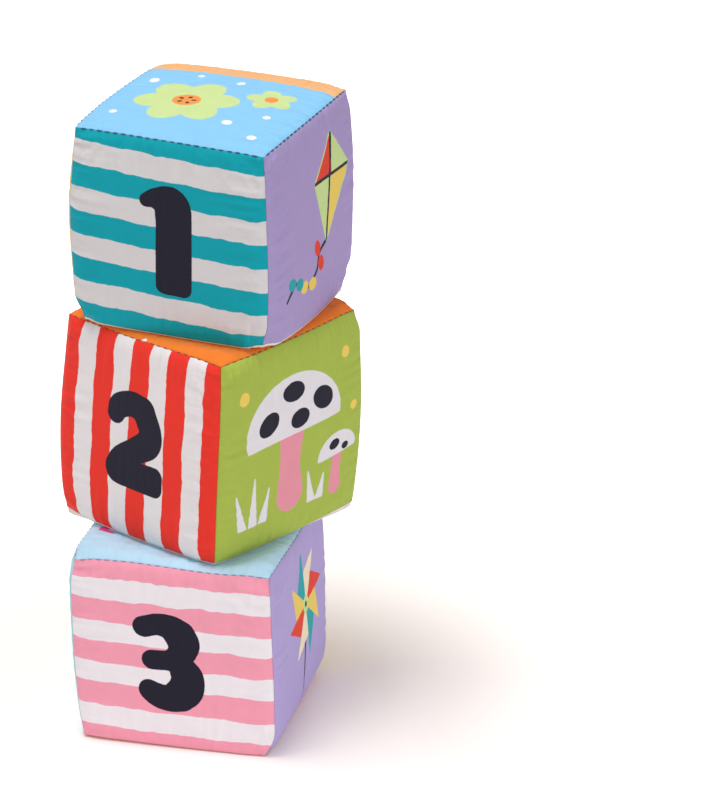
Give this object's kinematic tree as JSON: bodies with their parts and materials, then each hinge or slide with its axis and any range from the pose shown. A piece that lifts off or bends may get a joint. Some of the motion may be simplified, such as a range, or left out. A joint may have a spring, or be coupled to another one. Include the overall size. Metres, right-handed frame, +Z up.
{
  "type": "soft fabric block",
  "caption": "Stack of soft foam-filled fabric cubes sewn from printed cotton panels, which lift off one another.",
  "frame": {"origin": "middle of the flat underside of the bottom block", "axes": "+Z up along the stack, -Y out of the numbered front of the bottom block, +X out of its right side"},
  "size_m": [0.1262, 0.1309, 0.2773],
  "materials": {
    "teal_striped_cotton": "printed cotton with white wavy stripes and a dark numeral",
    "leaf_green_cotton": "printed cotton with white dots",
    "cream_cotton": "printed cotton with orange-red dots",
    "purple_cotton": "printed cotton with a kite",
    "sky_blue_cotton": "printed cotton with a flower and an orange band",
    "red_striped_cotton": "printed cotton with white wavy stripes and a dark numeral",
    "light_blue_cotton": "printed cotton with white dots",
    "amber_cotton": "printed cotton with cream dots",
    "olive_green_cotton": "printed cotton with toadstools",
    "orange_cotton": "printed cotton with small white specks",
    "pink_striped_cotton": "printed cotton with white wavy stripes and a dark numeral",
    "yellow_cotton": "printed cotton with white dots",
    "cyan_cotton": "printed cotton with pink dots",
    "lilac_cotton": "printed cotton with a pinwheel",
    "pale_blue_cotton": "printed cotton with pink leaves",
    "orange_red_cotton": "plain cotton",
    "white_cotton": "plain cotton",
    "foam": "open-cell foam under the cover"
  },
  "bodies": {
    "block_3": {"block_3_front_panel": "pink_striped_cotton", "block_3_back_panel": "yellow_cotton", "block_3_left_panel": "cyan_cotton", "block_3_right_panel": "lilac_cotton", "block_3_top_panel": "pale_blue_cotton", "block_3_bottom_panel": "orange_red_cotton", "block_3_foam_core": "foam"},
    "block_2": {"block_2_front_panel": "red_striped_cotton", "block_2_back_panel": "light_blue_cotton", "block_2_left_panel": "amber_cotton", "block_2_right_panel": "olive_green_cotton", "block_2_top_panel": "orange_cotton", "block_2_bottom_panel": "white_cotton", "block_2_foam_core": "foam"},
    "block_1": {"block_1_front_panel": "teal_striped_cotton", "block_1_back_panel": "leaf_green_cotton", "block_1_left_panel": "cream_cotton", "block_1_right_panel": "purple_cotton", "block_1_top_panel": "sky_blue_cotton", "block_1_bottom_panel": "white_cotton", "block_1_foam_core": "foam"}
  },
  "joints": [
    {"name": "block_2_lift", "type": "slide", "parent": "block_3", "child": "block_2", "axis": [0, 0, 1], "range_m": [0, 0.12]},
    {"name": "block_1_lift", "type": "slide", "parent": "block_2", "child": "block_1", "axis": [0, 0, 1], "range_m": [0, 0.12]}
  ]
}
